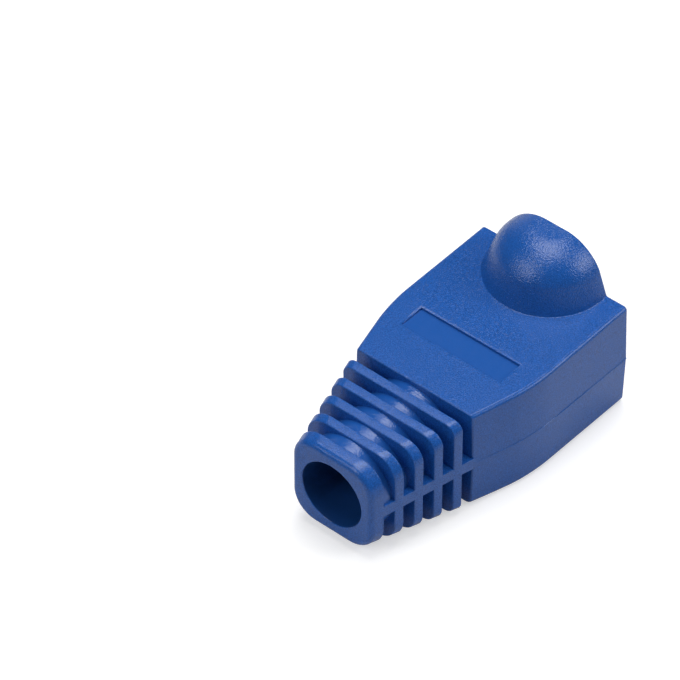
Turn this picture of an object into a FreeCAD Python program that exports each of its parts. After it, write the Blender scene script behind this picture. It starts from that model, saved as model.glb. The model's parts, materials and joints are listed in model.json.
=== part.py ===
"""RJ45 strain relief boot: one soft PVC moulding that slides over the back of a modular plug.

The mould opens up and down, so the outside is widest at a flat parting plane.  A square core makes
the plug cavity and a round pin makes the cable bore.  A hollow hood on the roof covers the plug's
latch, and grooves cut the tail into fins so that it bends with the cable.  A spine on each side,
at the parting plane, ties the fins together.

Lengths are in millimetres.  X runs from the mouth to the tail and Z is up.  The sketches count X
from the mouth, and the body's placement then puts the origin under the middle of the boot, on the
plane that it rests on.
"""
import FreeCAD
import Part
import math
import os

import Sketcher

SIZES = {
    # plug shell
    "shell_length": 15.93,
    "shell_width": 14.1,
    "shell_end_width": 11.25,
    "shell_height": 9.4,
    "roof_fall": 0.35,
    "parting_height": 4.45,
    "draft_angle": 0.8,
    "side_corner": 10.66,
    "side_bend_radius": 14.0,
    "floor_straight": 11.0,
    "floor_lift": 0.22,
    "corner_radius": 0.5,
    # plug cavity
    "cavity_width": 12.0,
    "cavity_depth": 10.0,
    "cavity_corner_radius": 0.3,
    "floor_thickness": 0.85,
    "roof_thickness": 1.4,
    "throat_length": 5.0,
    # snap bead across the cavity floor, just inside the mouth
    "bead_radius": 0.63,
    "bead_setback": 0.05,
    # latch hood
    "hood_setback": 0.65,
    "hood_rise": 4.1,
    "hood_base_radius": 4.97,
    "hood_shoulder_radius": 3.4,
    "hood_crown_radius": 1.1,
    "hood_side_wall": 0.72,
    "hood_crown_wall": 1.2,
    "hood_foot_radius": 0.4,
    # bare label recess in the roof
    "label_start": 9.63,
    "label_length": 2.24,
    "label_width": 9.26,
    "label_depth": 0.22,
    # finned tail
    "groove_count": 5,
    "groove_width": 0.92,
    "fin_thickness": 0.8,
    "tip_thickness": 1.22,
    "tip_width": 7.4,
    "tip_height": 7.68,
    "root_corner_radius": 0.6,
    "tip_corner_radius": 2.3,
    "tip_edge_radius": 0.5,
    "spine_thickness": 1.0,
    # cable bore and the tube round it
    "bore_radius": 2.76,
    "core_wall": 1.05,
}

# Sizes that follow from the ones above, as formulas on the same sheet.
FORMULAS = {
    "groove_pitch": "=groove_width + fin_thickness",
    "tail_length": "=groove_count * groove_pitch - fin_thickness + tip_thickness",
    "boot_length": "=shell_length + tail_length",
    "tip_floor": "=parting_height - tip_height / 2",
    "tip_top": "=parting_height + tip_height / 2",
    "shell_end_height": "=shell_height - roof_fall",
    "core_radius": "=bore_radius + core_wall",
    "cavity_top": "=shell_height - roof_thickness",
    "roof_slope": "=roof_fall / shell_length",
    "side_slope": "=(shell_width - shell_end_width) / 2 / (shell_length - side_corner)",
    "label_middle": "=label_start + label_length / 2",
    "label_roof": "=shell_height - roof_slope * label_middle",
    "spine_top": "=parting_height + spine_thickness / 2",
    "spine_floor": "=parting_height - spine_thickness / 2",
    "throat_end": "=cavity_depth + throat_length",
    # the corner cut that turns a square round the bore into a regular octagon
    "throat_end_cut": "=bore_radius * (2 - sqrt(2))",
    "hood_top": "=shell_height + hood_rise",
    "hood_inner_top": "=hood_top - hood_crown_wall",
    "hood_inner_radius": "=hood_base_radius - hood_side_wall",
    "hood_inner_shoulder": "=hood_shoulder_radius - hood_side_wall",
    # how far the bead runs into each side wall, so that it grows out of it
    "wall_bite": "=(shell_width - cavity_width) / 2",
    # how far a cutter reaches past the moulding, so that none of its faces lies on the moulding's
    "overrun": "=shell_width",
}

document = FreeCAD.newDocument("strain_relief_boot")
sheet = document.addObject("Spreadsheet::Sheet", "size")
for row, (alias, value) in enumerate({**SIZES, **FORMULAS}.items(), start=1):
    sheet.set(f"A{row}", alias)
    sheet.set(f"B{row}", str(value))
    sheet.setAlias(f"B{row}", alias)
document.recompute()

body = document.addObject("PartDesign::Body", "boot")
body.Label = "boot"
document.recompute()

START, END, CENTRE = range(1, 4)
ORIGIN_POINT = (-1, START)


def value_of(formula):
    """The number that a formula has now."""
    return float(body.evalExpression(formula))


def new_sketch(name, plane, offset="0"):
    """A sketch on one of the body's origin planes, moved along the plane's normal."""
    sketch = body.newObject("Sketcher::SketchObject", name)
    base = next(item for item in body.Origin.OriginFeatures if item.Role == plane)
    sketch.AttachmentSupport = (base, "")
    sketch.MapMode = "FlatFace"
    sketch.setExpression("AttachmentOffset.Base.z", offset)
    return sketch


def bind(sketch, kind, *where):
    """Add a dimension to a sketch and bind it to a formula, which comes last."""
    *elements, formula = where
    number = sketch.addConstraint(Sketcher.Constraint(kind, *elements, value_of(formula)))
    sketch.setExpression(f"Constraints[{number}]", formula)


def join(sketch, kind, *where):
    """Add a constraint that has no number."""
    sketch.addConstraint(Sketcher.Constraint(kind, *where))


def line(sketch, start, end):
    """Draw a line between two (across, up) spots, and give its number in the sketch."""
    return sketch.addGeometry(Part.LineSegment(FreeCAD.Vector(*start), FreeCAD.Vector(*end)))


def arc(sketch, centre, radius, first, last):
    """Draw an arc counterclockwise between two angles in degrees, and give its number."""
    ring = Part.Circle(FreeCAD.Vector(*centre), FreeCAD.Vector(0, 0, 1), radius)
    return sketch.addGeometry(Part.ArcOfCircle(ring, math.radians(first), math.radians(last)))


def place(sketch, element, end, across, up):
    """Hold one point of a sketch at a place that two formulas give."""
    bind(sketch, "DistanceX", *ORIGIN_POINT, element, end, across)
    bind(sketch, "DistanceY", *ORIGIN_POINT, element, end, up)


def polygon(sketch, corners):
    """Draw a closed run of lines through corners, each a pair of formulas."""
    spots = [(value_of(across), value_of(up)) for across, up in corners]
    sides = [line(sketch, spots[index - 1], spots[index]) for index in range(len(spots))]
    for index, side in enumerate(sides):
        join(sketch, "Coincident", sides[index - 1], END, side, START)
        place(sketch, side, END, *corners[index])


def rounded_rectangle(sketch, half_width, floor, top, radius):
    """Draw a rectangle that is even about the vertical axis, with four equal rounded corners."""
    wide, low, high, round_ = (value_of(formula) for formula in (half_width, floor, top, radius))
    lines = [
        line(sketch, (-wide + round_, low), (wide - round_, low)),
        line(sketch, (wide, low + round_), (wide, high - round_)),
        line(sketch, (wide - round_, high), (-wide + round_, high)),
        line(sketch, (-wide, high - round_), (-wide, low + round_)),
    ]
    arcs = [
        arc(sketch, (wide - round_, low + round_), round_, -90, 0),
        arc(sketch, (wide - round_, high - round_), round_, 0, 90),
        arc(sketch, (-wide + round_, high - round_), round_, 90, 180),
        arc(sketch, (-wide + round_, low + round_), round_, 180, 270),
    ]
    for index, corner in enumerate(arcs):
        following = lines[(index + 1) % len(lines)]
        join(sketch, "Tangent", lines[index], END, corner, START)
        join(sketch, "Tangent", corner, END, following, START)
    for side in (lines[0], lines[2]):
        join(sketch, "Horizontal", side)
    for side in (lines[1], lines[3]):
        join(sketch, "Vertical", side)
    bind(sketch, "DistanceY", *ORIGIN_POINT, lines[0], START, floor)
    bind(sketch, "DistanceX", *ORIGIN_POINT, lines[1], START, half_width)
    bind(sketch, "DistanceY", *ORIGIN_POINT, lines[2], START, top)
    bind(sketch, "DistanceX", *ORIGIN_POINT, lines[3], START, f"-({half_width})")
    bind(sketch, "Radius", arcs[0], radius)
    for corner in arcs[1:]:
        join(sketch, "Equal", arcs[0], corner)


def cut_rectangle(sketch, half_width, floor, top, cut):
    """Draw a rectangle that is even about the vertical axis, with its four corners cut off."""
    polygon(sketch, [
        (f"{half_width} - {cut}", floor),
        (half_width, f"{floor} + {cut}"),
        (half_width, f"{top} - {cut}"),
        (f"{half_width} - {cut}", top),
        (f"{cut} - {half_width}", top),
        (f"-({half_width})", f"{top} - {cut}"),
        (f"-({half_width})", f"{floor} + {cut}"),
        (f"{cut} - {half_width}", floor),
    ])


def circle(sketch, across, up, radius):
    """Draw a circle."""
    centre = FreeCAD.Vector(value_of(across), value_of(up), 0)
    ring = sketch.addGeometry(Part.Circle(centre, FreeCAD.Vector(0, 0, 1), value_of(radius)))
    place(sketch, ring, CENTRE, across, up)
    bind(sketch, "Radius", ring, radius)


def new_feature(kind, name, profile=None, **formulas):
    """A PartDesign feature whose numbers are bound to formulas."""
    feature = body.newObject(f"PartDesign::{kind}", name)
    if profile:
        feature.Profile = profile
    for number, formula in formulas.items():
        feature.setExpression(number, formula)
    return feature


def finish(feature, adds):
    """Rebuild the body with a new feature, and make sure that it added or cut something."""
    before = finish.volume
    document.recompute()
    volume = body.Shape.Volume
    grew = volume - before
    if grew == 0 or (grew > 0) != adds:
        raise ValueError(f"{feature.Name} changed the volume by {grew:.3f}")
    finish.volume = volume
    print(f"{feature.Name:16s} {volume:9.2f} mm3")


finish.volume = 0.0


def is_near(first, second):
    """Whether two lengths are the same, apart from rounding."""
    return math.isclose(first, second, abs_tol=1e-6)


def edges_of(feature, wanted):
    """Names of the feature's edges that pass a test on their bounding box."""
    edges = enumerate(feature.Shape.Edges, start=1)
    return [f"Edge{number}" for number, edge in edges if wanted(edge.BoundBox)]


def round_edges(name, wanted, radius, adds=False):
    """Fillet the edges of the body as it is now that pass a test."""
    base = body.Tip
    fillet = new_feature("Fillet", name, Radius=radius)
    fillet.Base = (base, edges_of(base, wanted))
    finish(fillet, adds)


def shell():
    """The block that the plug sits in: widest at the parting plane, with its long corners rounded."""
    plan = new_sketch("ShellPlan", "XY_Plane", "size.parting_height")
    near, far = "-size.overrun", "size.shell_length + size.groove_width"
    polygon(plan, [
        (near, "-size.shell_width / 2"),
        ("size.side_corner", "-size.shell_width / 2"),
        (far, "size.side_slope * size.groove_width - size.shell_end_width / 2"),
        (far, "size.shell_end_width / 2 - size.side_slope * size.groove_width"),
        ("size.side_corner", "size.shell_width / 2"),
        (near, "size.shell_width / 2"),
    ])

    block = new_feature(
        "Pad", "ShellBlock", plan,
        Length="max(size.shell_height; size.shell_end_height) - size.parting_height",
        Length2="size.parting_height",
        TaperAngle="-size.draft_angle",
        TaperAngle2="-size.draft_angle",
    )
    block.SideType = "Two sides"
    finish(block, adds=True)

    corner = value_of("size.side_corner")
    rise = value_of("size.overrun * tan(size.draft_angle)")

    def is_side_bend(box):
        upright = box.ZLength > box.XLength and box.ZLength > box.YLength
        return upright and abs(box.Center.x - corner) < rise

    round_edges("ShellBends", is_side_bend, "size.side_bend_radius")

    side = new_sketch("ShellSide", "XZ_Plane")
    polygon(side, [
        ("-2 * size.overrun", "-size.overrun"),
        ("2 * size.overrun", "-size.overrun"),
        ("2 * size.overrun", "size.shell_height + size.overrun"),
        ("-2 * size.overrun", "size.shell_height + size.overrun"),
    ])
    flat, length, lift = map(value_of, ("size.floor_straight", "size.shell_length", "size.floor_lift"))
    high, end_high = map(value_of, ("size.shell_height", "size.shell_end_height"))
    rise = length - flat
    sweep = 2 * math.atan2(lift, rise)
    radius = rise / math.sin(sweep)
    floor = line(side, (0, 0), (flat, 0))
    floor_bend = arc(side, (flat, radius), radius, 270, 270 + math.degrees(sweep))
    end = line(side, (length, lift), (length, end_high))
    roof = line(side, (length, end_high), (0, high))
    mouth = line(side, (0, high), (0, 0))
    join(side, "Tangent", floor, END, floor_bend, START)
    join(side, "Coincident", floor_bend, END, end, START)
    join(side, "Coincident", end, END, roof, START)
    join(side, "Coincident", roof, END, mouth, START)
    join(side, "Coincident", mouth, END, floor, START)
    place(side, mouth, END, "0", "0")
    place(side, floor, END, "size.floor_straight", "0")
    place(side, floor_bend, END, "size.shell_length", "size.floor_lift")
    place(side, end, END, "size.shell_length", "size.shell_end_height")
    place(side, roof, END, "0", "size.shell_height")
    trim = new_feature("Pocket", "ShellTrim", side, Length="4 * size.overrun")
    trim.SideType = "Symmetric"
    finish(trim, adds=False)

    parting = value_of("size.parting_height")
    inner = value_of("size.shell_end_width / 2 - 2 * size.corner_radius")

    def is_long_corner(box):
        along = box.XLength > box.YLength and box.XLength > box.ZLength
        outside = min(abs(box.YMin), abs(box.YMax)) > inner
        return along and outside and not box.ZMin <= parting <= box.ZMax

    round_edges("ShellCorners", is_long_corner, "size.corner_radius")


def tail():
    """The finned tail: a tapered block, rounder towards its tip, that grooves cut down to a tube."""
    root = new_sketch("TailRoot", "YZ_Plane", "size.shell_length")
    rounded_rectangle(root, "size.shell_end_width / 2", "size.floor_lift", "size.shell_end_height",
                      "size.root_corner_radius")
    tip = new_sketch("TailTip", "YZ_Plane", "size.boot_length")
    rounded_rectangle(tip, "size.tip_width / 2", "size.tip_floor", "size.tip_top",
                      "size.tip_corner_radius")
    block = new_feature("AdditiveLoft", "TailBlock", root)
    block.Sections = [tip]
    block.Ruled = True
    finish(block, adds=True)

    end = value_of("size.boot_length")
    round_edges("TipEdge", lambda box: is_near(box.XMin, end), "size.tip_edge_radius")

    blades = new_sketch("GrooveBlades", "YZ_Plane", "size.shell_length")
    height, radius = map(value_of, ("size.parting_height", "size.core_radius"))
    for level, far, sign in (
        ("size.spine_top", "size.shell_height + size.overrun", 1),
        ("size.spine_floor", "-size.overrun", -1),
    ):
        near_value, far_value, wide = map(value_of, (level, far, "size.overrun"))
        half = math.sqrt(radius ** 2 - (near_value - height) ** 2)
        angle = math.degrees(math.atan2(near_value - height, half))
        left = line(blades, (-wide, near_value), (-half, near_value))
        right = line(blades, (half, near_value), (wide, near_value))
        right_side = line(blades, (wide, near_value), (wide, far_value))
        cap = line(blades, (wide, far_value), (-wide, far_value))
        left_side = line(blades, (-wide, far_value), (-wide, near_value))
        if sign > 0:
            core = arc(blades, (0, height), radius, angle, 180 - angle)
            left_end, right_end = END, START
        else:
            core = arc(blades, (0, height), radius, 180 - angle, 360 + angle)
            left_end, right_end = START, END
        join(blades, "Coincident", left, END, core, left_end)
        join(blades, "Coincident", core, right_end, right, START)
        join(blades, "Coincident", right, END, right_side, START)
        join(blades, "Coincident", right_side, END, cap, START)
        join(blades, "Coincident", cap, END, left_side, START)
        join(blades, "Coincident", left_side, END, left, START)
        join(blades, "Horizontal", left)
        join(blades, "Horizontal", right)
        place(blades, left, START, "-size.overrun", level)
        place(blades, right, END, "size.overrun", level)
        place(blades, cap, START, "size.overrun", far)
        place(blades, cap, END, "-size.overrun", far)
        place(blades, core, CENTRE, "0", "size.parting_height")
        bind(blades, "Radius", core, "size.core_radius")
    groove = new_feature("Pocket", "Groove", blades, Length="size.groove_width")
    groove.Reversed = True
    finish(groove, adds=False)

    grooves = new_feature(
        "LinearPattern", "Grooves",
        Length="size.groove_pitch * (size.groove_count - 1)",
        Occurrences="size.groove_count",
    )
    grooves.Originals = [groove]
    along = next(item for item in body.Origin.OriginFeatures if item.Role == "X_Axis")
    grooves.Direction = (along, [""])
    body.Tip = grooves
    finish(grooves, adds=False)


def hood_profile(name, top, crown, shoulder, wide, foot):
    """Half of the hood's section, from its upright axis: flat crown, round shoulder, drafted side."""
    sketch = new_sketch(name, "XZ_Plane")
    sketch.setExpression("AttachmentOffset.Base.x", "size.hood_setback")
    high, flat, radius, base, low = map(value_of, (top, crown, shoulder, wide, foot))
    level = value_of("size.shell_height")
    centre = high - radius
    reach = math.hypot(base - flat, level - centre)
    lean = math.acos(radius / reach) + math.atan2(level - centre, base - flat)
    touch = (flat + radius * math.cos(lean), centre + radius * math.sin(lean))
    crown_line = line(sketch, (0, high), (flat, high))
    bend = arc(sketch, (flat, centre), radius, math.degrees(lean), 90)
    slope = line(sketch, touch, (base, level))
    skirt = line(sketch, (base, level), (base, low))
    sole = line(sketch, (base, low), (0, low))
    axis = line(sketch, (0, low), (0, high))
    join(sketch, "Coincident", crown_line, END, bend, END)
    join(sketch, "Tangent", bend, START, slope, START)
    join(sketch, "Coincident", slope, END, skirt, START)
    join(sketch, "Coincident", skirt, END, sole, START)
    join(sketch, "Coincident", sole, END, axis, START)
    join(sketch, "Coincident", axis, END, crown_line, START)
    place(sketch, crown_line, START, "0", top)
    place(sketch, crown_line, END, crown, top)
    place(sketch, bend, CENTRE, crown, f"{top} - {shoulder}")
    place(sketch, slope, END, wide, "size.shell_height")
    place(sketch, skirt, END, wide, foot)
    place(sketch, sole, END, "0", foot)
    return sketch


def hood():
    """The latch hood's outside: a dome on the roof, cut off flush with the mouth."""
    profile = hood_profile("HoodOutside", "size.hood_top", "size.hood_crown_radius",
                           "size.hood_shoulder_radius", "size.hood_base_radius",
                           "size.shell_height - size.roof_thickness / 2")
    dome = new_feature("Revolution", "Hood", profile)
    dome.ReferenceAxis = (profile, ["V_Axis"])
    finish(dome, adds=True)

    plane = new_sketch("MouthPlane", "YZ_Plane")
    polygon(plane, [
        ("-size.overrun", "-size.overrun"),
        ("size.overrun", "-size.overrun"),
        ("size.overrun", "size.hood_top + size.overrun"),
        ("-size.overrun", "size.hood_top + size.overrun"),
    ])
    finish(new_feature("Pocket", "MouthTrim", plane, Length="size.overrun"), adds=False)


def inside():
    """The plug cavity with its snap bead, the throat, the cable bore and the hollow of the hood."""
    mouth = new_sketch("CavityMouth", "YZ_Plane")
    cavity_section = ("size.cavity_width / 2", "size.floor_thickness", "size.cavity_top",
                      "size.cavity_corner_radius")
    rounded_rectangle(mouth, *cavity_section)
    cavity = new_feature("Pocket", "Cavity", mouth, Length="size.cavity_depth")
    cavity.Reversed = True
    finish(cavity, adds=False)

    start = new_sketch("ThroatStart", "YZ_Plane", "size.cavity_depth")
    cut_rectangle(start, "size.cavity_width / 2", "size.floor_thickness", "size.cavity_top",
                  "size.cavity_corner_radius")
    end = new_sketch("ThroatEnd", "YZ_Plane", "size.throat_end")
    cut_rectangle(end, "size.bore_radius", "size.parting_height - size.bore_radius",
                  "size.parting_height + size.bore_radius", "size.throat_end_cut")
    throat = new_feature("SubtractiveLoft", "Throat", start)
    throat.Sections = [end]
    throat.Ruled = True
    finish(throat, adds=False)

    ring = new_sketch("BoreSection", "YZ_Plane", "size.throat_end")
    circle(ring, "0", "size.parting_height", "size.bore_radius")
    bore = new_feature("Pocket", "Bore", ring, Length="size.boot_length")
    bore.Reversed = True
    finish(bore, adds=False)

    profile = hood_profile("HoodInside", "size.hood_inner_top", "size.hood_crown_radius",
                           "size.hood_inner_shoulder", "size.hood_inner_radius",
                           "size.cavity_top - size.roof_thickness / 2")
    hollow = new_feature("Groove", "HoodHollow", profile)
    hollow.ReferenceAxis = (profile, ["V_Axis"])
    finish(hollow, adds=False)

    under = value_of("size.cavity_top")
    back = value_of("size.hood_setback + size.hood_inner_radius")

    def is_hood_foot(box):
        return is_near(box.ZMin, under) and is_near(box.ZMax, under) and is_near(box.XMax, back)

    round_edges("HoodFoot", is_hood_foot, "size.hood_foot_radius")

    section = new_sketch("BeadSection", "XZ_Plane")
    circle(section, "size.bead_setback + size.bead_radius", "size.floor_thickness", "size.bead_radius")
    bead = new_feature("Pad", "SnapBead", section, Length="size.cavity_width + size.wall_bite")
    bead.SideType = "Symmetric"
    finish(bead, adds=True)


def label():
    """The shallow recess in the roof, left bare."""
    panel = new_sketch("LabelPanel", "XY_Plane", "size.shell_height")
    polygon(panel, [
        ("size.label_start", "-size.label_width / 2"),
        ("size.label_start + size.label_length", "-size.label_width / 2"),
        ("size.label_start + size.label_length", "size.label_width / 2"),
        ("size.label_start", "size.label_width / 2"),
    ])
    recess = new_feature("Pocket", "LabelRecess", panel,
                         Length="size.shell_height - size.label_roof + size.label_depth")
    finish(recess, adds=False)


shell()
tail()
hood()
inside()
label()
body.setExpression("Placement.Base.x", "-size.boot_length / 2")
document.recompute()

faults = [item.Name for item in document.Objects if {"Invalid", "Error"} & set(item.State)]
if faults:
    raise ValueError(f"these objects failed to build: {faults}")
if body.Shape.isNull() or not body.Shape.isValid() or len(body.Shape.Solids) != 1:
    raise ValueError("the boot is not one valid solid")

os.makedirs("parts", exist_ok=True)
body.Shape.exportStep(f"parts/{body.Label}.step")
print(f"boot {body.Shape.optimalBoundingBox(False, False)}")
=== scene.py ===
# %% [markdown]
# # A strain relief boot for a network plug
#
# The boot is one soft vinyl moulding.  It slides over the back of a modular plug, covers the
# plug's latch with a hood, and ends in a finned tail that bends with the cable.  The construction
# model gives its size and place.  These cells model its skin again with the small round edges,
# the parting line and the grained finish that a moulding has, and then set up the studio.

import json
import math

import bmesh
import bpy
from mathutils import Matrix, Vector


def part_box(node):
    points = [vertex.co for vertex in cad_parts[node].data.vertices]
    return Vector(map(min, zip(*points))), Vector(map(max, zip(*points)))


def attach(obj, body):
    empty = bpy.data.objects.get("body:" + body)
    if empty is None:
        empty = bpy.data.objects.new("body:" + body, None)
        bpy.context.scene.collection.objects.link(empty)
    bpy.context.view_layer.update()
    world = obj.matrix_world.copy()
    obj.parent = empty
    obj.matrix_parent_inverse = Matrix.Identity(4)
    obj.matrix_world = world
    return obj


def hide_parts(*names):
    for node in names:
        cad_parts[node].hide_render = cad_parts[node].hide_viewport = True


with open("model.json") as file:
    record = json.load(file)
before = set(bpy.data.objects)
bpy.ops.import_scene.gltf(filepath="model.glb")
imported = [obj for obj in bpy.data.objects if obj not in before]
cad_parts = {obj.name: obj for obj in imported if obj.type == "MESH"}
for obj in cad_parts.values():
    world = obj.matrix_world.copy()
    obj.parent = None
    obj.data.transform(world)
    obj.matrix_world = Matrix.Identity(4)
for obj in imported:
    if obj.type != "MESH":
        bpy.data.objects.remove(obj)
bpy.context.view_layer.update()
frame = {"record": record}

METRES_PER_MM = 0.001
low, high = (corner / METRES_PER_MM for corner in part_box("boot"))
bore = next(mount for mount in frame["record"]["mounts"] if mount["name"] == "cable_bore")
mouth, tip = low.x, high.x
half_width = high.y
hood_top = high.z
parting = bore["pos_m"][2] / METRES_PER_MM
bore_radius = bore["dims"]["r_mm"]
print(f"boot {tip - mouth:.2f} mm long, {2 * half_width:.2f} wide, {hood_top:.2f} high")

# %% [markdown]
# Blender counts in metres, and many of its mesh tools treat points less than a tenth of a
# millimetre apart as one.  That is as large as the rounded edges here, so every piece is modelled
# with one unit for each millimetre, and the finished boot is brought down to size at the end.
#
# Operators act on whatever is selected.  These helpers select one object, and then pick its
# points, edges or faces by where they are.

# %% Helpers for shaping one piece
def focus(piece):
    """Select one object and nothing else."""
    bpy.ops.object.select_all(action="DESELECT")
    piece.select_set(True)
    bpy.context.view_layer.objects.active = piece


def open_mesh(piece):
    """Go into edit mode with nothing selected."""
    focus(piece)
    bpy.ops.object.mode_set(mode="EDIT")
    bpy.ops.mesh.select_all(action="DESELECT")


def close_mesh():
    """Go back to object mode."""
    bpy.ops.object.mode_set(mode="OBJECT")


def pick(piece, kind, test):
    """Select the verts, edges or faces that pass a test, and count them."""
    bpy.ops.mesh.select_mode(type={"verts": "VERT", "edges": "EDGE", "faces": "FACE"}[kind])
    mesh = bmesh.from_edit_mesh(piece.data)
    chosen = [item for item in getattr(mesh, kind) if test(item)]
    for item in chosen:
        item.select_set(True)
    mesh.select_flush_mode()
    bmesh.update_edit_mesh(piece.data)
    return len(chosen)


def settle(name):
    """Name the new object, and put its place, turn and scale into its mesh."""
    piece = bpy.context.object
    piece.name = piece.data.name = name
    focus(piece)
    bpy.ops.object.transform_apply(location=True, rotation=True, scale=True)
    return piece


def add_box(name, lowest, highest):
    """A box between two corners."""
    bpy.ops.object.select_all(action="DESELECT")
    bpy.ops.mesh.primitive_cube_add(size=1)
    bpy.context.object.location = [(a + b) / 2 for a, b in zip(lowest, highest)]
    bpy.context.object.scale = [b - a for a, b in zip(lowest, highest)]
    return settle(name)


def rod(name, radius, start, length, turn, end_radius=None):
    """A rod that starts at a point and runs along X (turned about Y) or Y (turned about X)."""
    bpy.ops.object.select_all(action="DESELECT")
    bpy.ops.mesh.primitive_cone_add(vertices=128, radius1=radius, radius2=end_radius or radius,
                                    depth=length)
    along = Vector((length / 2, 0, 0)) if turn == "Y" else Vector((0, length / 2, 0))
    bpy.context.object.location = Vector(start) + along
    bpy.context.object.rotation_euler["XYZ".index(turn)] = math.radians(90)
    return settle(name)


def cut(piece, point, normal):
    """Cut a piece with a plane, throw away what lies beyond it, and close the cut."""
    open_mesh(piece)
    bpy.ops.mesh.select_all(action="SELECT")
    bpy.ops.mesh.bisect(plane_co=point, plane_no=normal, clear_outer=True, use_fill=True)
    close_mesh()


def score(piece, point, normal):
    """Mark a piece with a line of edges where a plane crosses it."""
    open_mesh(piece)
    bpy.ops.mesh.select_all(action="SELECT")
    bpy.ops.mesh.bisect(plane_co=point, plane_no=normal)
    close_mesh()


def narrow(piece, test, factor):
    """Bring the points that pass a test nearer to the middle plane."""
    open_mesh(piece)
    pick(piece, "verts", test)
    bpy.ops.transform.resize(value=(1, factor, 1), center_override=(0, 0, 0))
    close_mesh()


def soften(piece, test, radius, steps=3):
    """Round the edges that pass a test."""
    open_mesh(piece)
    count = pick(piece, "edges", test)
    bpy.ops.mesh.bevel(offset=radius, segments=steps, affect="EDGES")
    close_mesh()
    print(f"{piece.name}: rounded {count} edges by {radius:.2f} mm")


def round_end(piece, way, radius, steps=3):
    """Grow the flat end that looks along the boot by a radius, with its edge rounded."""
    open_mesh(piece)
    count = pick(piece, "faces", lambda face: face.normal.x * way > 0.999)
    across, out = 0.0, 0.0
    for step in range(1, steps + 1):
        angle = math.radians(90) * step / steps
        next_across, next_out = radius * (1 - math.cos(angle)), radius * math.sin(angle)
        bpy.ops.mesh.inset(thickness=next_across - across, depth=next_out - out)
        across, out = next_across, next_out
    close_mesh()
    print(f"{piece.name}: {count} end rounded by {radius:.2f} mm")


def near(first, second):
    """Whether two lengths are the same to a micrometre."""
    return abs(first - second) < 0.001


def is_rim(edge):
    """Whether an edge bounds a flat face that looks along the boot."""
    ends = [abs(face.normal.x) > 0.98 for face in edge.link_faces]
    return len(ends) == 2 and ends[0] != ends[1]

# %% [markdown]
# ## The shell
#
# The block that holds the plug.  It could be a scaled cube with its end squeezed, but its sides
# run straight, turn in a wide bend and then narrow, so the outline is drawn flat first: a plane
# is marked at the bend, its end is narrowed, its two corners are rounded, and it is thickened
# upwards.  An extrusion would do the same, but it numbers its new points differently in each run.
# Draft then makes it widest at the parting plane.  A ridge a few hundredths of a millimetre high
# stays there, where the halves of the mould met.  The block is drawn a little too long and too
# high, because its mouth and its roof are cut later.

# %% Draw the shell's outline and raise it
shell_length = 15.93
shell_end = mouth + shell_length
shell_height = 9.4
shell_end_half = 5.625
side_corner = mouth + 10.66
side_bend_radius = 14.0
spare_length, spare_height = 1.0, 0.2
block_top = shell_height + spare_height

bpy.ops.object.select_all(action="DESELECT")
bpy.ops.mesh.primitive_plane_add(size=1)
bpy.context.object.location = (shell_end - (shell_length + spare_length) / 2, 0, 0)
bpy.context.object.scale = (shell_length + spare_length, 2 * half_width, 1)
shell = settle("shell")
score(shell, (side_corner, 0, 0), (1, 0, 0))
narrow(shell, lambda vert: near(vert.co.x, shell_end), shell_end_half / half_width)

side_turn = math.atan2(half_width - shell_end_half, shell_end - side_corner)
open_mesh(shell)
pick(shell, "edges", lambda edge: all(near(vert.co.x, side_corner) for vert in edge.verts))
bpy.ops.mesh.dissolve_edges(use_verts=False)
pick(shell, "verts", lambda vert: near(vert.co.x, side_corner))
bpy.ops.mesh.bevel(offset=side_bend_radius * math.tan(side_turn / 2), segments=12,
                   affect="VERTICES")
close_mesh()
thicken = shell.modifiers.new("thicken", "SOLIDIFY")
thicken.thickness, thicken.offset = block_top, 1
bpy.ops.object.modifier_apply(modifier=thicken.name)
print(f"shell outline: {len(shell.data.vertices) // 2} corners")

# %% Give the sides their draft and the parting ridge
draft_angle = 2.0
draft = math.tan(math.radians(draft_angle))
ridge_height, ridge_reach = 0.05, 0.055

for level in (parting - ridge_reach, parting, parting + ridge_reach):
    score(shell, (0, 0, level), (0, 0, 1))
for level, fall in ((0, parting * draft), (block_top, (block_top - parting) * draft)):
    narrow(shell, lambda vert: near(vert.co.z, level), 1 - (ridge_height + fall) / half_width)
for level in (parting - ridge_reach, parting + ridge_reach):
    narrow(shell, lambda vert: near(vert.co.z, level), 1 - ridge_height / half_width)
print(f"draft {draft_angle} degrees, ridge {ridge_height} mm high at {parting:.2f} mm")

# %% [markdown]
# The roof falls a little towards the tail, and the floor turns up over its last third.  Both are
# cut with planes: one for the roof, and five in a fan for the floor, so that it reads as a curve.

# %% Slope the roof and turn up the floor
roof_fall = 0.35
floor_bend = mouth + 11.0
floor_lift = 0.22
floor_cuts = 5

cut(shell, (mouth, 0, shell_height), Vector((roof_fall, 0, shell_length)).normalized())
floor_turn = 2 * math.atan2(floor_lift, shell_end - floor_bend)
floor_radius = (shell_end - floor_bend) / math.sin(floor_turn)
for step in range(1, floor_cuts + 1):
    angle = floor_turn * step / floor_cuts
    touch = (floor_bend + floor_radius * math.sin(angle), 0, floor_radius * (1 - math.cos(angle)))
    cut(shell, touch, (math.sin(angle), 0, -math.cos(angle)))
print(f"floor: turns up by {math.degrees(floor_turn):.1f} degrees in {floor_cuts} cuts")

# %% [markdown]
# A bevel rounds the long corners.  The lower ones have the larger round, and the roof's are
# crisper.  The rim at the tail end gets its small round here too, and the mouth's has to wait
# until the hood is on.

# %% Round the shell's corners
floor_corner_radius, roof_corner_radius = 0.5, 0.3
rim_radius = 0.14


def is_long_corner(edge):
    """Whether an edge runs along the boot, between a side and the roof or the floor."""
    flat = [abs(face.normal.z) > 0.9 for face in edge.link_faces]
    ends = [abs(face.normal.x) > 0.9 for face in edge.link_faces]
    return len(flat) == 2 and flat[0] != flat[1] and not any(ends)


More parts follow.
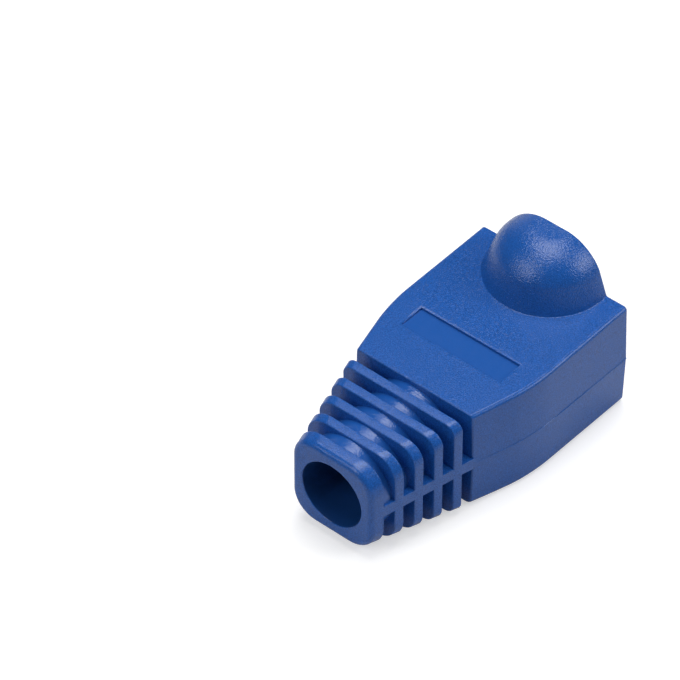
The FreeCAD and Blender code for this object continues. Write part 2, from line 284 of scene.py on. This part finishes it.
def is_floor_corner(edge):
    """Whether a long corner is below the parting plane."""
    return is_long_corner(edge) and edge.verts[0].co.z < parting


def is_roof_corner(edge):
    """Whether a long corner is above the parting plane."""
    return is_long_corner(edge) and edge.verts[0].co.z > parting


soften(shell, is_floor_corner, floor_corner_radius, steps=6)
soften(shell, is_roof_corner, roof_corner_radius, steps=4)
soften(shell, lambda edge: is_rim(edge) and edge.verts[0].co.x > 0, rim_radius)

# %% [markdown]
# ## The latch hood
#
# A dome over the plug's latch.  Its sides lean in a little, its shoulder is a large round and its
# crown is flat.  A cone frustum has that lean and that flat top, and one wide bevel on its top
# edge makes the shoulder.  The hollow inside is the same shape with its own sizes, so one function
# makes both.  The dome keeps its lean down into the roof, and the hollow runs straight down
# through it.

# %% Write the dome as a function
def frustum(name, top, foot, roof, base_radius, shoulder_radius, crown_radius, leaning):
    """A dome with a flat crown and a wide round shoulder.  Its foot is below the roof."""
    centre = top - shoulder_radius
    span = base_radius - crown_radius
    reach = math.hypot(span, roof - centre)
    lean = math.acos(shoulder_radius / reach) + math.atan2(roof - centre, span)
    top_radius = base_radius - (top - roof) * math.tan(lean)
    bpy.ops.object.select_all(action="DESELECT")
    start = foot if leaning else roof
    start_radius = base_radius + (roof - start) * math.tan(lean)
    bpy.ops.mesh.primitive_cone_add(vertices=96, radius1=start_radius, radius2=top_radius,
                                    depth=top - start,
                                    location=(hood_axis, 0, (top + start) / 2))
    dome = settle(name)
    soften(dome, lambda edge: all(near(vert.co.z, top) for vert in edge.verts),
           top_radius - crown_radius, steps=20)
    if not leaning:
        open_mesh(dome)
        pick(dome, "faces", lambda face: face.normal.z < -0.99)
        bpy.ops.mesh.inset(thickness=0, depth=roof - foot)
        close_mesh()
    return dome

# %% Make the hood and its hollow
hood_axis = mouth + 0.65
hood_radius, shoulder_radius, crown_radius = 4.97, 3.4, 1.1
side_wall, crown_wall = 0.72, 1.2
roof_thickness = 1.4

hood = frustum("hood", hood_top, shell_height - roof_thickness / 2, shell_height,
               hood_radius, shoulder_radius, crown_radius, leaning=True)
hollow = frustum("hood_hollow", hood_top - crown_wall, shell_height - 1.5 * roof_thickness,
                 shell_height, hood_radius - side_wall, shoulder_radius - side_wall,
                 crown_radius, leaning=False)
print(f"hood: {hood.dimensions.x:.2f} mm across its foot")

# %% [markdown]
# ## The tail
#
# Grooves leave the tail as fins on a tube, tied together by a spine on each side.  Cutting grooves
# would leave sharp edges that are hard to round afterwards.  So the whole tapered block is lofted
# once, from a nearly square section to a round one, and each fin is a slice of a copy of it.  A
# slice is cut short at both faces, and then each face grows back with its edge rounded.

# %% Loft blocks between two rounded sections
def section(name, place, half, floor, top, radius, steps):
    """A flat rectangle across the boot with its corners rounded."""
    bpy.ops.object.select_all(action="DESELECT")
    bpy.ops.mesh.primitive_plane_add(size=1, rotation=(0, math.radians(90), 0))
    bpy.context.object.location = (place, 0, (floor + top) / 2)
    bpy.context.object.scale = (top - floor, 2 * half, 1)
    outline = settle(name)
    open_mesh(outline)
    bpy.ops.mesh.select_all(action="SELECT")
    bpy.ops.mesh.bevel(offset=radius, segments=steps, affect="VERTICES")
    close_mesh()
    return outline


def loft(name, first, last, steps):
    """A closed block between two sections."""
    block = section(name, *first, steps)
    far_end = section(name + "_far", *last, steps)
    focus(block)
    far_end.select_set(True)
    bpy.ops.object.join()
    open_mesh(block)
    bpy.ops.mesh.select_all(action="SELECT")
    bpy.ops.mesh.delete(type="ONLY_FACE")
    bpy.ops.mesh.select_all(action="SELECT")
    bpy.ops.mesh.bridge_edge_loops()
    bpy.ops.mesh.select_all(action="SELECT")
    bpy.ops.mesh.fill_holes(sides=0)
    bpy.ops.mesh.normals_make_consistent(inside=False)
    close_mesh()
    print(f"{name}: {len(block.data.vertices)} points, {len(block.data.polygons)} faces")
    return block


def copy_of(piece, name):
    """A copy of a piece with its own mesh."""
    focus(piece)
    bpy.ops.object.duplicate(linked=False)
    copy = bpy.context.object
    copy.name = copy.data.name = name
    return copy

# %% Loft the tail and slice it into fins
groove_width, fin_thickness, groove_count = 0.92, 0.8, 5
fin_pitch = groove_width + fin_thickness
fin_radius = 0.11
tip_radius = 0.5
core_wall, core_taper = 1.05, 0.42
spine_thickness = 1.0

tip_half, tip_height, tip_corner = 3.7, 7.68, 2.3
root_floor, root_top, root_corner = floor_lift, shell_height - roof_fall, 0.6
overlap = 0.4


def tail_section(place):
    """The tail's section at a place along it: half width, floor, top and corner radius."""
    share = (place - shell_end) / (tip - shell_end)
    root = (shell_end_half, root_floor, root_top, root_corner)
    end = (tip_half, parting - tip_height / 2, parting + tip_height / 2, tip_corner)
    return [a + (b - a) * share for a, b in zip(root, end)]


tail = loft("tail", (shell_end - overlap, *tail_section(shell_end - overlap)),
            (tip, *tail_section(tip)), steps=10)
fins = []
for number in range(groove_count):
    start = shell_end + groove_width + number * fin_pitch
    last = number == groove_count - 1
    end, end_radius = (tip, tip_radius) if last else (start + fin_thickness, fin_radius)
    fin = copy_of(tail, f"fin_{number + 1}")
    cut(fin, (start + fin_radius, 0, 0), (-1, 0, 0))
    cut(fin, (end - end_radius, 0, 0), (1, 0, 0))
    round_end(fin, -1, fin_radius)
    round_end(fin, 1, end_radius, steps=6 if last else 3)
    fins.append(fin)

# %% [markdown]
# The spine is a slice of the same block, level with the parting plane, so its outside follows the
# fins.  It is made a hair narrower than they are, because faces in one plane join badly.  The tube
# round the bore is a slender cone, thicker beside the shell.  Both stop inside the last fin.

# %% Make the spine and the tube
end_inset = 1
spine_share = 0.9995

spine = tail
spine.name = spine.data.name = "spine"
cut(spine, (0, 0, parting + spine_thickness / 2), (0, 0, 1))
cut(spine, (0, 0, parting - spine_thickness / 2), (0, 0, -1))
cut(spine, (tip - end_inset, 0, 0), (1, 0, 0))
soften(spine, lambda edge: sorted(round(abs(face.normal.z)) for face in edge.link_faces) == [0, 1]
       and not is_rim(edge), fin_radius / 2)
narrow(spine, lambda vert: True, spine_share)

tube_length = tip - end_inset - shell_end + 2 * overlap
tube = rod("tube", bore_radius + core_wall + core_taper, (shell_end - 2 * overlap, 0, parting),
           tube_length, "Y", end_radius=bore_radius + core_wall)
print(f"spine {spine.dimensions.x:.2f} mm long, tube {tube.dimensions.y:.2f} mm across")

# %% [markdown]
# ## The vinyl
#
# The mould is spark-eroded, so the skin has a fine even grain.  Grain is bump from a noise whose
# grains are a tenth of a millimetre, and a finer noise makes each grain a little paler or darker.
# A larger one lets the roughness wander, as it does on a worn mould.  All the finishes are one
# material with one blue, so one function makes them.

# %% Write the vinyl as a function
VINYL_BLUE = (0.012, 0.086, 0.35)
VINYL_IOR = 1.42
grain_size, speckle_size, patch_size = 0.11, 0.09, 0.35
roughness_spread = 0.03


def vinyl(name, roughness, grain, speckle=0.04, shade=1.0, gloss=0.5):
    """Blue vinyl with a grain of a given depth in mm.

    Speckle is how much the grains differ in colour, and shade darkens the blue with painted shade.
    """
    colour = [part * shade for part in VINYL_BLUE]
    material = bpy.data.materials.new(name)
    material.use_nodes = True
    nodes, links = material.node_tree.nodes, material.node_tree.links
    shader = nodes["Principled BSDF"]
    shader.inputs["IOR"].default_value = VINYL_IOR
    shader.inputs["Specular IOR Level"].default_value = gloss
    place = nodes.new("ShaderNodeTexCoord")

    def noise(size, detail):
        texture = nodes.new("ShaderNodeTexNoise")
        texture.inputs["Scale"].default_value = 1 / (size * METRES_PER_MM)
        texture.inputs["Detail"].default_value = detail
        links.new(place.outputs["Object"], texture.inputs["Vector"])
        return texture.outputs["Fac"]

    def spread(source, low_value, high_value):
        fit = nodes.new("ShaderNodeMapRange")
        fit.inputs["From Min"].default_value, fit.inputs["From Max"].default_value = 0.3, 0.7
        fit.inputs["To Min"].default_value = low_value
        fit.inputs["To Max"].default_value = high_value
        links.new(source, fit.inputs["Value"])
        return fit.outputs["Result"]

    tint = nodes.new("ShaderNodeMix")
    tint.data_type = "RGBA"
    tint.inputs["A"].default_value = (*(part * (1 - speckle) for part in colour), 1)
    tint.inputs["B"].default_value = (*(part * (1 + speckle) for part in colour), 1)
    links.new(spread(noise(speckle_size, 1), 0, 1), tint.inputs["Factor"])
    links.new(tint.outputs["Result"], shader.inputs["Base Color"])
    patches = spread(noise(patch_size, 3), roughness - roughness_spread,
                     roughness + roughness_spread)
    links.new(patches, shader.inputs["Roughness"])

    bump = nodes.new("ShaderNodeBump")
    bump.inputs["Strength"].default_value = 1.0
    bump.inputs["Distance"].default_value = grain * METRES_PER_MM
    links.new(noise(grain_size, 1), bump.inputs["Height"])
    links.new(bump.outputs["Normal"], shader.inputs["Normal"])
    print(f"{name}: roughness {roughness}, grain {grain} mm deep")
    return material

# %% [markdown]
# The mould isn't equally rough all over.  The skin is grained, the hood's grain is deeper and
# glitters, the label recess is fine, and the tube is almost polished, where the mould's blades
# reach between the fins.  The inside comes off a smooth core.  It is dull, and its blue is
# darkened with painted shade, so that the cavity and the bore read as dark hollows.

# %% Make the five finishes
grained = vinyl("blue_vinyl_grained", 0.18, 0.018, speckle=0.3, gloss=0.47)
sparkling = vinyl("blue_vinyl_sparkling", 0.11, 0.038, speckle=0.2, gloss=0.6)
fine = vinyl("blue_vinyl_fine", 0.2, 0.005)
polished = vinyl("blue_vinyl_polished", 0.12, 0.02, gloss=0.7)
# The inside finish's blue is darkened to 0.55 as painted shade for the hollows.
inside = vinyl("blue_vinyl_inside", 0.4, 0.01, shade=0.55)

# %% [markdown]
# ## One moulding
#
# The pieces overlap, so a Boolean union makes them one closed skin.  Where two faces lie in one
# plane, a Boolean can leave the skin open.  So the shell and the hood both run past the mouth, and
# they are joined first and then cut off there together.  The mouth's end grows back with its edge
# rounded, as the fins' faces did, and the crease round the hood's foot gets its small round.

# %% Join the pieces
def combine(piece, other, how, finish):
    """Join another piece to this one, or cut it out.  Its faces keep their own finish."""
    other.data.materials.append(finish)
    focus(piece)
    step = piece.modifiers.new(how.lower(), "BOOLEAN")
    step.operation = how
    step.solver = "EXACT"
    step.material_mode = "TRANSFER"
    step.object = other
    bpy.ops.object.modifier_apply(modifier=step.name)
    bpy.data.objects.remove(other)


def is_hood_foot(edge):
    """Whether an edge lies in the crease where the dome meets the roof."""
    return (all(abs(math.hypot(vert.co.x - hood_axis, vert.co.y) - hood_radius) < 0.1
                and abs(vert.co.z - shell_height) < 0.3 for vert in edge.verts)
            and edge.calc_face_angle_signed(0) < -0.5)


hood_foot_radius = 0.06

boot = shell
boot.data.materials.append(grained)
combine(boot, hood, "UNION", sparkling)
soften(boot, is_hood_foot, hood_foot_radius)
cut(boot, (mouth + rim_radius, 0, 0), (-1, 0, 0))
round_end(boot, -1, rim_radius)
for other in (spine, *fins):
    combine(boot, other, "UNION", grained)
combine(boot, tube, "UNION", polished)
boot.name = boot.data.name = "boot_moulding"
print(f"joined: {len(boot.data.vertices)} points, {len(boot.data.polygons)} faces")

# %% [markdown]
# Boolean differences take out the plug's cavity, the throat, the bore and the hood's hollow.  The
# throat is a loft from the square cavity to the round bore.  It is a hair smaller than both, again
# so that no two faces lie in one plane.  A bead across the cavity's floor holds the plug.

# %% Hollow it out
cavity_half, cavity_floor, cavity_top = 6.0, 0.85, shell_height - roof_thickness
cavity_corner = 0.3
cavity_end, throat_length = mouth + 10.0, 5.0
throat_end = cavity_end + throat_length
lip = 0.04
waist = bore_radius - 0.02
passage_overlap, clearance = 0.1, 2
bead_radius, bead_setback, bead_overlap = 0.63, 0.05, 0.5

cavity = add_box("cavity", (mouth - clearance, -cavity_half, cavity_floor),
                 (cavity_end, cavity_half, cavity_top))
soften(cavity, lambda edge: not is_rim(edge), cavity_corner)
throat = loft("throat", (cavity_end - lip, cavity_half - lip, cavity_floor + lip, cavity_top - lip,
                         cavity_corner),
              (throat_end, waist, parting - waist, parting + waist, waist * (2 - math.sqrt(2))),
              steps=1)
passage = rod("passage", bore_radius, (throat_end - passage_overlap, 0, parting),
              tip - throat_end + clearance, "Y")
# The cut faces and the bead take the inside finish, whose darker blue is painted shade.
for cutter in (cavity, throat, passage, hollow):
    combine(boot, cutter, "DIFFERENCE", inside)

bead = rod("bead", bead_radius,
           (mouth + bead_setback + bead_radius, -cavity_half - bead_overlap, cavity_floor),
           2 * (cavity_half + bead_overlap), "X")
combine(boot, bead, "UNION", inside)
print(f"hollowed: {len(boot.data.vertices)} points, {len(boot.data.polygons)} faces")

# %% [markdown]
# The recess for a label is a shallow box with a flat floor.  The roof sinks a little towards its
# edge.  That slope is a second cutter, whose lower face is inset to make a sloping shoulder, and
# it is tilted with the roof.

# %% Sink the label recess
label_start, label_length, label_half, label_depth = mouth + 9.63, 2.24, 4.63, 0.22
shoulder_reach, shoulder_fall, shoulder_sink = 0.2, 0.05, 0.003

label_roof = shell_height - roof_fall * (label_start + label_length / 2 - mouth) / shell_length
shoulder_half_length = label_length / 2 + shoulder_reach
shoulder_half_width = label_half + shoulder_reach
shoulder = add_box("shoulder", (-shoulder_half_length, -shoulder_half_width, 0),
                   (shoulder_half_length, shoulder_half_width, 1))
open_mesh(shoulder)
pick(shoulder, "faces", lambda face: face.normal.z < -0.99)
bpy.ops.mesh.inset(thickness=shoulder_reach, depth=shoulder_fall)
close_mesh()
shoulder.rotation_euler.y = math.atan2(roof_fall, shell_length)
shoulder.location = (label_start + label_length / 2, 0, label_roof - shoulder_sink)
shoulder = settle("shoulder")
combine(boot, shoulder, "DIFFERENCE", grained)
recess = add_box("recess", (label_start, -label_half, label_roof - label_depth),
                 (label_start + label_length, label_half, shell_height + 1))
combine(boot, recess, "DIFFERENCE", fine)
print(f"recess: {2 * label_half:.2f} mm by {label_length:.2f} mm, {label_depth} mm deep")

# %% [markdown]
# The cuts left three sharp rims: round the bore, round the mouth's opening and round the recess.
# Points that the cuts left almost on top of each other are merged first, because a bevel turns
# them into spikes.

# %% Round the last rims
weld_distance = 0.004
bore_rim_radius, mouth_rim_radius, label_rim_radius = 0.1, 0.12, 0.04


def turn_at(edge):
    """How far the skin turns at an edge, in degrees."""
    return math.degrees(edge.calc_face_angle(0))


def is_bore_rim(edge):
    """Whether an edge lies where the bore leaves the tip."""
    return all(near(vert.co.x, tip)
               and abs(math.hypot(vert.co.y, vert.co.z - parting) - bore_radius) < 0.01
               for vert in edge.verts)


def is_mouth_rim(edge):
    """Whether an edge lies where the cavity or the hood's hollow meets the mouth."""
    return all(near(vert.co.x, mouth) for vert in edge.verts) and turn_at(edge) > 60


def is_label_rim(edge):
    """Whether an edge lies at the top of the recess's walls."""
    return (all(label_start - 0.01 < vert.co.x < label_start + label_length + 0.01
                and abs(vert.co.y) < label_half + 0.01 and vert.co.z > label_roof - 0.1
                for vert in edge.verts) and turn_at(edge) > 60)


open_mesh(boot)
bpy.ops.mesh.select_all(action="SELECT")
bpy.ops.mesh.remove_doubles(threshold=weld_distance)
close_mesh()
soften(boot, is_bore_rim, bore_rim_radius)
soften(boot, is_mouth_rim, mouth_rim_radius)
soften(boot, is_label_rim, label_rim_radius)

# %% [markdown]
# The boot is shaded smooth except at its sharpest edges.  Face-weighted normals keep its flat
# faces flat right up to their rounded edges.  Then it comes down to metres and takes the place of
# the construction model's own skin.

# %% Shade the boot and bring it down to size
smooth_angle = 40

focus(boot)
bpy.ops.object.shade_smooth_by_angle(angle=math.radians(smooth_angle))
weigh = boot.modifiers.new("weigh", "WEIGHTED_NORMAL")
weigh.keep_sharp = True
bpy.ops.object.modifier_apply(modifier=weigh.name)
boot.scale = [METRES_PER_MM] * 3
bpy.ops.object.transform_apply(location=True, rotation=True, scale=True)
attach(boot, "root")
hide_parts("boot")
print(f"boot: {len(boot.data.polygons)} faces, {boot.dimensions.x / METRES_PER_MM:.2f} mm long")

# %% [markdown]
# ## The studio
#
# The boot stands on paper under one large lamp above it, one at each side and a faint low one
# behind it, in a dark grey room.  The lamps are soft, so their reflections on the hood are broad
# patches.
#
# The paper sends light back up, which is what lights the boot's sides.  It is pale under the boot
# and dark farther out, because vinyl mirrors most at a grazing angle, and wide white paper would
# grey the hood's flank.  A glow that the camera sees makes all of it white, and shadows still show
# in it.  Glossy and transmitted rays see a faint share of the same glow.

# %% Lay the paper
pale_reach, dark_reach = 0.045, 0.11
mirrored_share = 0.15

bpy.ops.object.select_all(action="DESELECT")
bpy.ops.mesh.primitive_plane_add(size=4)
paper = bpy.context.object
paper.name = "paper"
white = bpy.data.materials.new("white_paper")
white.use_nodes = True
nodes, links = white.node_tree.nodes, white.node_tree.links
sheet = nodes["Principled BSDF"]
sheet.inputs["Roughness"].default_value = 0.9
sheet.inputs["Specular IOR Level"].default_value = 0
sheet.inputs["Emission Color"].default_value = (1, 1, 1, 1)
place = nodes.new("ShaderNodeTexCoord")
round_patch = nodes.new("ShaderNodeTexGradient")
round_patch.gradient_type = "SPHERICAL"
links.new(place.outputs["Object"], round_patch.inputs["Vector"])


def fade(edge_value, middle_value):
    """A value that changes outwards, from the pale middle of the paper to its dark part."""
    fit = nodes.new("ShaderNodeMapRange")
    fit.inputs["From Min"].default_value = 1 - dark_reach
    fit.inputs["From Max"].default_value = 1 - pale_reach
    fit.inputs["To Min"].default_value = edge_value
    fit.inputs["To Max"].default_value = middle_value
    links.new(round_patch.outputs["Fac"], fit.inputs["Value"])
    return fit.outputs["Result"]


rays = nodes.new("ShaderNodeLightPath")
glow = nodes.new("ShaderNodeMath")
glow.operation = "MULTIPLY"
links.new(fade(0.04, 0.66), sheet.inputs["Base Color"])
mirrored = nodes.new("ShaderNodeMath")
mirrored.operation = "ADD"
links.new(rays.outputs["Is Glossy Ray"], mirrored.inputs[0])
links.new(rays.outputs["Is Transmission Ray"], mirrored.inputs[1])
seen = nodes.new("ShaderNodeMath")
seen.operation = "MULTIPLY_ADD"
links.new(mirrored.outputs[0], seen.inputs[0])
seen.inputs[1].default_value = mirrored_share
links.new(rays.outputs["Is Camera Ray"], seen.inputs[2])
links.new(seen.outputs[0], glow.inputs[0])
links.new(fade(0.97, 0.5), glow.inputs[1])
links.new(glow.outputs[0], sheet.inputs["Emission Strength"])
paper.data.materials.append(white)
print(f"paper: pale for {pale_reach} m round the boot")

# %% Hang the lamps and light the room
def heading(azimuth, elevation):
    """A direction from two angles in degrees."""
    around, up = math.radians(azimuth), math.radians(elevation)
    return Vector((math.cos(around) * math.cos(up), math.sin(around) * math.cos(up), math.sin(up)))


def softbox(name, azimuth, elevation, width, height, brightness):
    """A lamp half a metre away that faces the boot.  Brightness 1 shows as white."""
    lamp = bpy.data.lights.new(name, "AREA")
    lamp.shape, lamp.size, lamp.size_y = "RECTANGLE", width, height
    lamp.energy = brightness * math.pi * width * height
    stand = bpy.data.objects.new(name, lamp)
    bpy.context.scene.collection.objects.link(stand)
    stand.location = heading(azimuth, elevation) * 0.5
    stand.rotation_euler = heading(azimuth, elevation).to_track_quat("Z", "Y").to_euler()
    print(f"{name}: {lamp.energy:.2f} W, {width} m by {height} m")


softbox("lamp_above", -142, 79, 0.28, 0.44, 5.1)
softbox("lamp_left", -16, 40, 0.24, 0.3, 3.8)
softbox("lamp_right", 127, 34, 0.28, 0.28, 4.4)
softbox("lamp_back", -134, 13, 0.4, 0.24, 0.6)

room_grey = 0.07
room = bpy.data.worlds.new("room")
room.use_nodes = True
background = room.node_tree.nodes["Background"]
background.inputs["Color"].default_value = (room_grey, room_grey, room_grey, 1)
bpy.context.scene.world = room
bpy.context.scene.view_settings.view_transform = "Standard"

# %% Set up the camera
camera_distance = 0.3626
focal_length = 260.74
aim = Vector((-0.17, -10.17, 4.38)) * METRES_PER_MM
view = heading(40.98, 43.15)
camera = bpy.data.cameras.new("camera")
camera.lens, camera.sensor_width = focal_length, 36
stand = bpy.data.objects.new("camera", camera)
bpy.context.scene.collection.objects.link(stand)
stand.location = aim + view * camera_distance
stand.rotation_euler = view.to_track_quat("Z", "Y").to_euler()
bpy.context.scene.camera = stand
print(f"camera {camera_distance} m away, {focal_length} mm lens")

# %% Update the scene and finish
bpy.context.view_layer.update()
